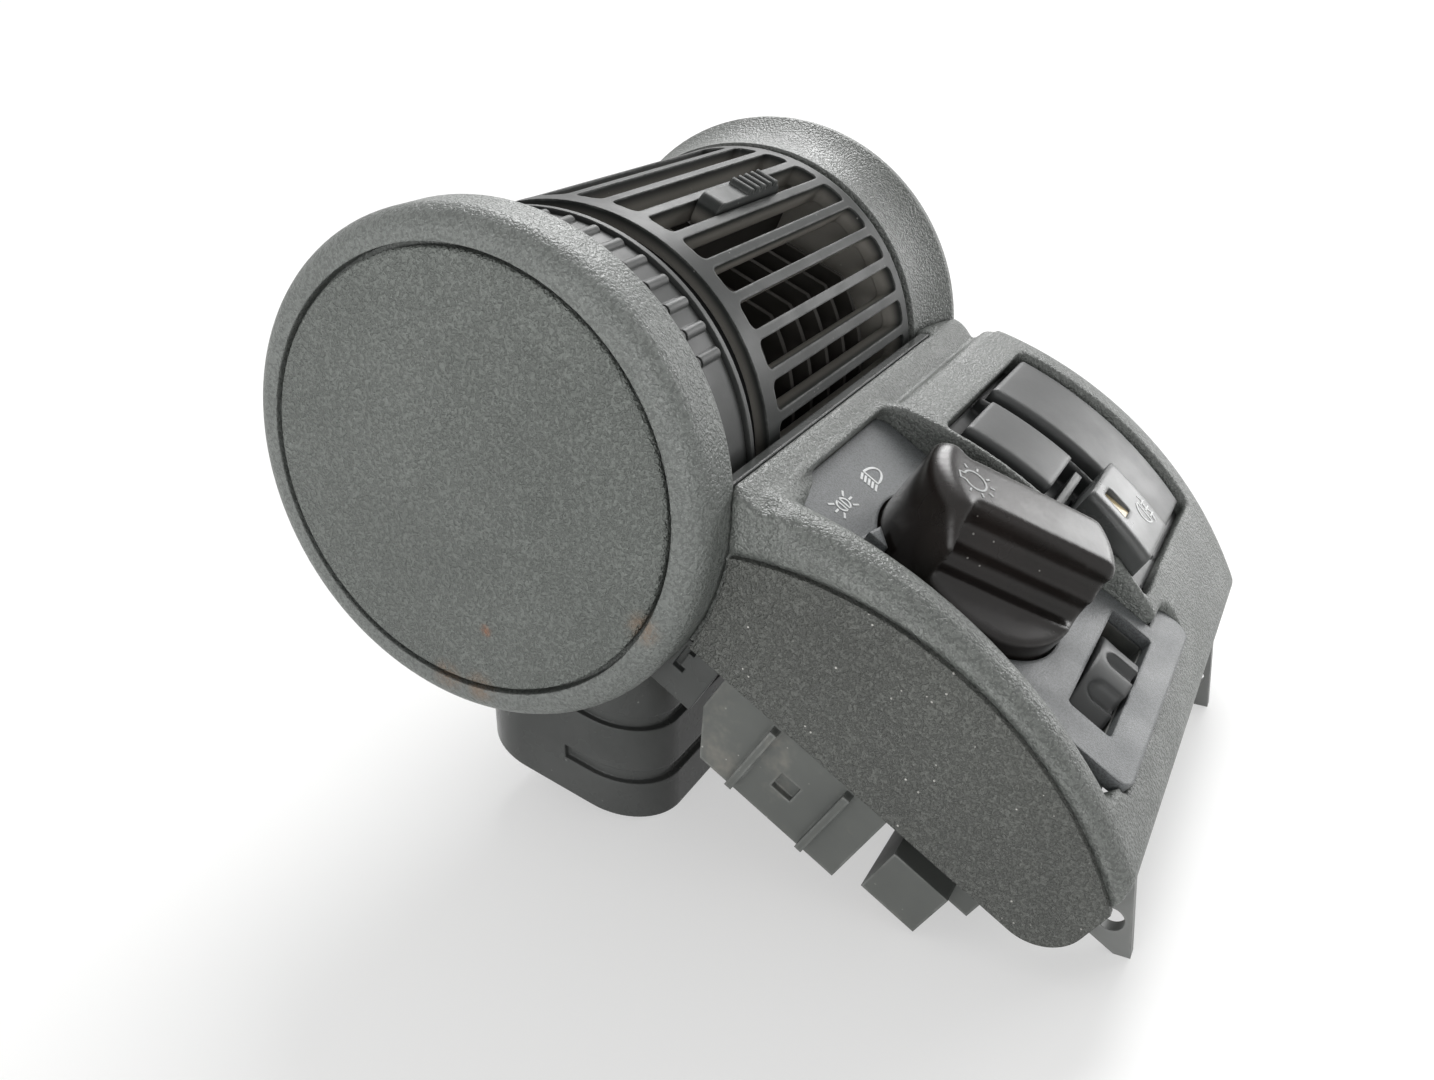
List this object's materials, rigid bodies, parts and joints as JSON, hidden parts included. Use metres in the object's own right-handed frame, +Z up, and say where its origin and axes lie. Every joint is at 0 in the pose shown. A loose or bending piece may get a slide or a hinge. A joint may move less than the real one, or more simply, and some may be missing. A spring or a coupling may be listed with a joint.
{
  "type": "dashboard end pod with barrel air vent and lamp switch panel",
  "caption": "Dashboard end pod: barrel air vent with swivelling grille, linked vanes and flow wheel over a crowned panel with lamp knob, dimmer wheel, fog button and blanks",
  "frame": {"origin": "on the table under the centre of the bounding box", "axes": "X along the barrel from the end cap to the far flange, Y from the switch panel to the back of the barrel, Z up"},
  "size_m": [0.131, 0.1537, 0.1142],
  "materials": {
    "grained_plastic": "fine leather grain, charcoal",
    "duct_plastic": "smooth black, semi-gloss",
    "grille_plastic": "satin black",
    "wheel_plastic": "smooth satin grey-black",
    "foam": "matte black foam",
    "fascia_plastic": "fine sparkle texture, dark grey",
    "switch_plastic": "plain moulded, blue-grey",
    "knob_plastic": "semi-gloss black",
    "button_plastic": "satin dark grey",
    "lens_plastic": "clear amber",
    "contact_metal": "plain",
    "steel": "plain"
  },
  "bodies": {
    "pod": {"bezel": "grained_plastic", "near_rim": "grained_plastic", "far_flange": "grained_plastic", "fixing_tabs": "switch_plastic", "end_cap": "grained_plastic", "side_cover": "grained_plastic", "duct_housing": "duct_plastic", "near_axle": "steel", "far_axle": "steel", "partition": "wheel_plastic", "drum_seal": "foam", "housing_screws": "steel", "switch_fascia": "fascia_plastic", "lamp_switch_body": "switch_plastic", "lamp_terminals": "contact_metal", "dimmer_body": "switch_plastic", "dimmer_terminals": "contact_metal", "button_carrier": "button_plastic", "short_blank": "button_plastic", "long_blank": "button_plastic", "fog_spring": "steel", "fog_switch_body": "switch_plastic", "fog_terminals": "contact_metal"},
    "drum": {"drum_grille": "grille_plastic", "drum_end_plate": "grille_plastic"},
    "vane_link": {"vane_link": "grille_plastic", "vane_grip": "grille_plastic"},
    "flow_wheel": {"flow_wheel": "wheel_plastic", "air_shutter": "duct_plastic", "shutter_arm": "duct_plastic"},
    "knob": {"light_knob": "knob_plastic", "knob_spindle": "steel"},
    "dimmer": {"dimmer_wheel": "knob_plastic", "dimmer_axle": "steel"},
    "fog": {"fog_button": "button_plastic", "fog_lens": "lens_plastic"},
    "vane_1": {"vane_1": "grille_plastic"},
    "vane_2": {"vane_2": "grille_plastic"},
    "vane_3": {"vane_3": "grille_plastic"},
    "vane_4": {"vane_4": "grille_plastic"},
    "vane_5": {"vane_5": "grille_plastic"},
    "vane_6": {"vane_6": "grille_plastic"}
  },
  "joints": [
    {"name": "drum_tilt", "type": "hinge", "parent": "pod", "child": "drum", "pos_m": [0, 0.03324, 0.0706], "axis": [1, 0, 0], "range_deg": [-15, 25]},
    {"name": "flow_wheel_turn", "type": "hinge", "parent": "pod", "child": "flow_wheel", "pos_m": [0, 0.03324, 0.0706], "axis": [-1, 0, 0], "range_deg": [0, 62]},
    {"name": "link_slide", "type": "slide", "parent": "drum", "child": "vane_link", "axis": [1, 0, 0], "range_m": [-0.0076, 0.0076]},
    {"name": "vane_1_swing", "type": "hinge", "parent": "drum", "child": "vane_1", "pos_m": [-0.01835, 0.02991, 0.07787], "axis": [0, 0.9092, 0.4163], "range_deg": [-25, 25]},
    {"name": "vane_2_swing", "type": "hinge", "parent": "drum", "child": "vane_2", "pos_m": [-0.00975, 0.02991, 0.07787], "axis": [0, 0.9092, 0.4163], "range_deg": [-25, 25]},
    {"name": "vane_3_swing", "type": "hinge", "parent": "drum", "child": "vane_3", "pos_m": [-0.00115, 0.02991, 0.07787], "axis": [0, 0.9092, 0.4163], "range_deg": [-25, 25]},
    {"name": "vane_4_swing", "type": "hinge", "parent": "drum", "child": "vane_4", "pos_m": [0.00745, 0.02991, 0.07787], "axis": [0, 0.9092, 0.4163], "range_deg": [-25, 25]},
    {"name": "vane_5_swing", "type": "hinge", "parent": "drum", "child": "vane_5", "pos_m": [0.01605, 0.02991, 0.07787], "axis": [0, 0.9092, 0.4163], "range_deg": [-25, 25]},
    {"name": "vane_6_swing", "type": "hinge", "parent": "drum", "child": "vane_6", "pos_m": [0.02465, 0.02991, 0.07787], "axis": [0, 0.9092, 0.4163], "range_deg": [-25, 25]},
    {"name": "knob_turn", "type": "hinge", "parent": "pod", "child": "knob", "pos_m": [-0.0243, -0.03997, 0.05224], "axis": [0, -0.5461, 0.8377], "range_deg": [-36, 36]},
    {"name": "dimmer_turn", "type": "hinge", "parent": "pod", "child": "dimmer", "pos_m": [-0.0178, -0.05585, 0.0235], "axis": [0, 0.8377, 0.5461], "range_deg": [-70, 70]},
    {"name": "fog_press", "type": "slide", "parent": "pod", "child": "fog", "axis": [0, 0.5461, -0.8377], "range_m": [0, 0.0025], "stiffness_N_per_m": 300, "springref_m": -0.002, "deforming": ["fog_spring"]}
  ],
  "couplings": [
    {"joint": "vane_1_swing", "follows": "link_slide", "rad_per_m": 57.36},
    {"joint": "vane_2_swing", "follows": "link_slide", "rad_per_m": 57.36},
    {"joint": "vane_3_swing", "follows": "link_slide", "rad_per_m": 57.36},
    {"joint": "vane_4_swing", "follows": "link_slide", "rad_per_m": 57.36},
    {"joint": "vane_5_swing", "follows": "link_slide", "rad_per_m": 57.36},
    {"joint": "vane_6_swing", "follows": "link_slide", "rad_per_m": 57.36}
  ]
}
